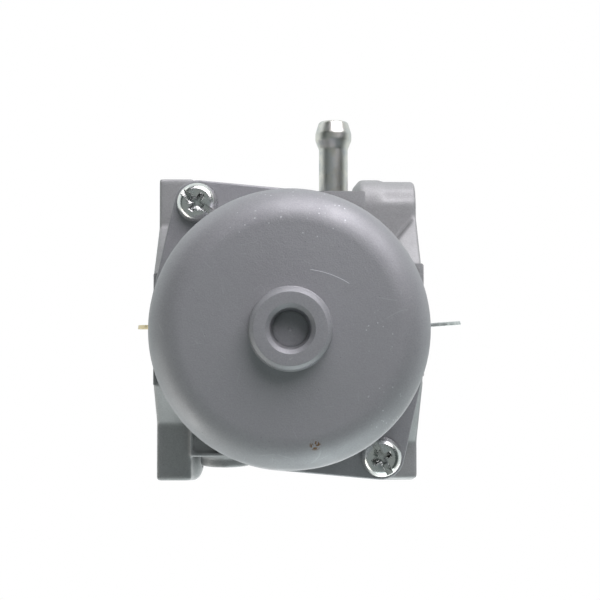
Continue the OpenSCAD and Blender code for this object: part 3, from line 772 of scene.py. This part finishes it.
def coil(node, start, axis, length):
    """A compression spring with closed ends, its wire swept as one tube."""
    r, wire_r, turns, dead_turns = 2.75, 0.4, 5, 0.9
    sides, steps_per_turn = 12, 32
    place = facing(start, axis)
    rise = length - 2 * wire_r
    dead_rise = wire_r * 1.1  # of each closed end
    all_turns = turns + 2 * dead_turns
    steps = int(all_turns * steps_per_turn)
    bm = bmesh.new()
    rings = []
    for i in range(steps + 1):
        t = i / steps * all_turns
        free = min(max(t - dead_turns, 0), turns) / turns
        flat = (min(t, dead_turns) + max(t - dead_turns - turns, 0)) / dead_turns
        z = wire_r + (rise - 2 * dead_rise) * free + dead_rise * flat
        a = 2 * pi * t
        ring = []
        for j in range(sides):
            b = 2 * pi * j / sides
            d = r + wire_r * cos(b)
            ring.append(bm.verts.new(place @ mm(d * cos(a), d * sin(a), z + wire_r * sin(b))))
        rings.append(ring)
    for one, two in zip(rings, rings[1:]):
        for j in range(sides):
            n = (j + 1) % sides
            bm.faces.new([one[j], one[n], two[n], two[j]])
    bm.faces.new(rings[0])
    bm.faces.new(rings[-1])
    return new_object(node + "_coil", bm, node)


def adjusters():
    """Idle speed and mixture screws with their springs, on the axes of their joints."""
    low, high = box_mm("idle_speed_screw")
    spring_low, spring_high = box_mm("idle_speed_spring")
    axis = Vector(JOINT["idle_speed_turn"]["axis"])
    x, _, z = pivot_mm("idle_speed_turn")
    adjuster("idle_speed_screw", (x, high.y, z), axis, 1.2, high.y - low.y - ADJUSTER_HEAD_H)
    coil("idle_speed_spring", (x, spring_high.y, z), axis, spring_high.y - spring_low.y)
    axis = Vector(JOINT["idle_mixture_turn"]["axis"])
    face = pivot_mm("idle_mixture_turn")
    sunk, spring_len = 11.8, 5.9
    adjuster("idle_mixture_screw", face - axis * sunk, axis, 5.0, sunk + spring_len)
    coil("idle_mixture_spring", face, axis, spring_len)


adjusters()

# ---------------------------------------------------------------- fuel nipple


def fuel_nipple():
    """The hose nipple: a tube with a rounded tip and a bulb behind it."""
    low, high = box_mm("fuel_nipple")
    axis_x, axis_z = (low.x + high.x) / 2, (low.z + high.z) / 2
    root, tip = low.y, high.y
    bore_r, tube_r, bulb_r = 2.2, 3.35, 4.2
    outline = rounded([
        (bore_r, root, 0), (tube_r, root, 0.2), (tube_r, tip - 6.5, 1.6), (bulb_r, tip - 4.4, 1.4),
        (bulb_r, tip - 2.9, 2.0), (tube_r, tip, 0.8), (bore_r, tip, 0.15), (bore_r, root, 0)], 9)
    place = facing((axis_x, 0, axis_z), (0, 1, 0))
    made = new_object("fuel_nipple_turned", lathe(outline[:-1], 96, place), "fuel_nipple")
    made.data.materials[0] = MATERIALS["tube"]
    return made


fuel_nipple()

# ---------------------------------------------------------------- turned and stamped pieces


def crisp_copy(node, width=0.12, segments=2, angle=35):
    """A CAD node with its flat faces whole again and its edges broken, as a finished piece."""
    bm = bmesh.new()
    bm.from_mesh(NODES[node].data)
    bmesh.ops.remove_doubles(bm, verts=bm.verts, dist=1e-6)
    bmesh.ops.dissolve_limit(bm, angle_limit=radians(0.5), verts=bm.verts, edges=bm.edges)
    made = new_object(node + "_piece", bm, node, smooth=False)
    return sharpened(soften(made, width, segments, angle), 30)


for simple in ("throttle_shaft", "throttle_plate", "throttle_lever", "throttle_lock_washer",
               "throttle_lever_nut", "choke_shaft", "choke_plate", "choke_lever", "choke_lever_clip",
               "choke_stop_pin", "welch_plug", "passage_plug", "pilot_jet", "main_jet", "bowl_gasket",
               "float_pin", "needle_pin", "inlet_needle", "throttle_shaft_seal", "choke_shaft_seal"):
    crisp_copy(simple)
crisp_copy("float", 0.6, 3)
crisp_copy("float_hinge", 0.15)

# The CAD nodes that nothing above replaces stay in view, with a material.
for name, made in NODES.items():
    if not made.hide_render:
        made.data.materials.clear()
        made.data.materials.append(MATERIALS[SLOT_OF[name]])
        sharpened(made, 35)

# ---------------------------------------------------------------- floor, light and camera


MIDDLE = mm(-30, 0, -20)


def softbox(name, place, size, power, colour=(1, 1, 1)):
    """A round lamp at a place in metres, aimed at the middle of the object."""
    data = bpy.data.lights.new(name, "AREA")
    data.shape = "DISK"
    data.size = size
    data.energy = power
    data.color = colour
    made = linked(name, data)
    made.location = place
    made.rotation_euler = (MIDDLE - Vector(place)).to_track_quat("-Z", "Y").to_euler()
    return made


def floor():
    """A pale floor well below the object. It throws no light back on it and shows in no metal."""
    bm = bmesh.new()
    bmesh.ops.create_grid(bm, x_segments=24, y_segments=24, size=6.0)
    made = linked("floor", to_mesh("floor", bm))
    made.location = (0, 0, -0.6)
    s = Shader("pale_floor")
    grain = s.noise(30.0, 3.0)
    colour = s.mix(grain, (0.80, 0.80, 0.80), (0.84, 0.84, 0.84))
    made.data.materials.append(s.finish(colour, s.ramp(grain, (0.3, 0.65), (0.7, 0.75))))
    made.visible_diffuse = False
    made.visible_glossy = False


def world():
    """White behind the object for the camera. For light, bright from the table side and above,
    and dim from below, where the camera stands."""
    made = bpy.data.worlds.new("studio")
    bpy.context.scene.world = made
    made.use_nodes = True
    nodes, links = made.node_tree.nodes, made.node_tree.links
    split = nodes.new("ShaderNodeSeparateXYZ")
    links.new(nodes.new("ShaderNodeTexCoord").outputs["Generated"], split.inputs[0])
    height = nodes.new("ShaderNodeMapRange")
    height.inputs["From Min"].default_value = -0.35
    height.inputs["From Max"].default_value = 0.30
    links.new(split.outputs["Z"], height.inputs["Value"])
    sky = nodes.new("ShaderNodeMix")
    sky.data_type = "RGBA"
    sky.inputs[6].default_value = (0.050, 0.064, 0.060, 1)
    sky.inputs[7].default_value = (0.86, 0.92, 0.90, 1)
    links.new(height.outputs["Result"], sky.inputs[0])
    shown = nodes.new("ShaderNodeMix")
    shown.data_type = "RGBA"
    shown.inputs[7].default_value = (1, 1, 1, 1)
    links.new(nodes.new("ShaderNodeLightPath").outputs["Is Camera Ray"], shown.inputs[0])
    links.new(sky.outputs[2], shown.inputs[6])
    links.new(shown.outputs[2], nodes["Background"].inputs["Color"])


def camera():
    """The photo's camera: nearly straight below, with photo right along -X and photo up +Y."""
    eye = mm(-28.2, -1.6, -276.4)
    aim = mm(-33.0, 6.7, -20.0)
    back = (eye - aim).normalized()
    side = Vector((0, 1, 0)).cross(back).normalized()
    up = back.cross(side)
    data = bpy.data.cameras.new("camera")
    data.lens = 68.2
    data.sensor_width = 36
    data.clip_start = 0.01
    made = linked("camera", data)
    made.matrix_world = Matrix.Translation(eye) @ Matrix((side, up, back)).transposed().to_4x4()
    bpy.context.scene.camera = made


floor()
world()
camera()
softbox("key", (-0.25, 0.60, -0.40), 0.78, 7.7, (1.0, 0.97, 1.0))
softbox("fill", (0.25, -0.25, -0.80), 1.5, 1.2, (0.93, 1.0, 0.98))
softbox("panel", (0.48, -0.38, -0.02), 0.50, 1.15, (1.0, 0.97, 0.91))
softbox("low", (-0.20, -0.59, -0.10), 0.7, 2.2, (0.91, 1.0, 0.98))
softbox("top", (-0.2, -0.35, 0.7), 0.6, 1.4)
softbox("rim", (0.45, 0.55, 0.10), 0.4, 0.25)
bpy.context.scene.view_settings.view_transform = "Standard"
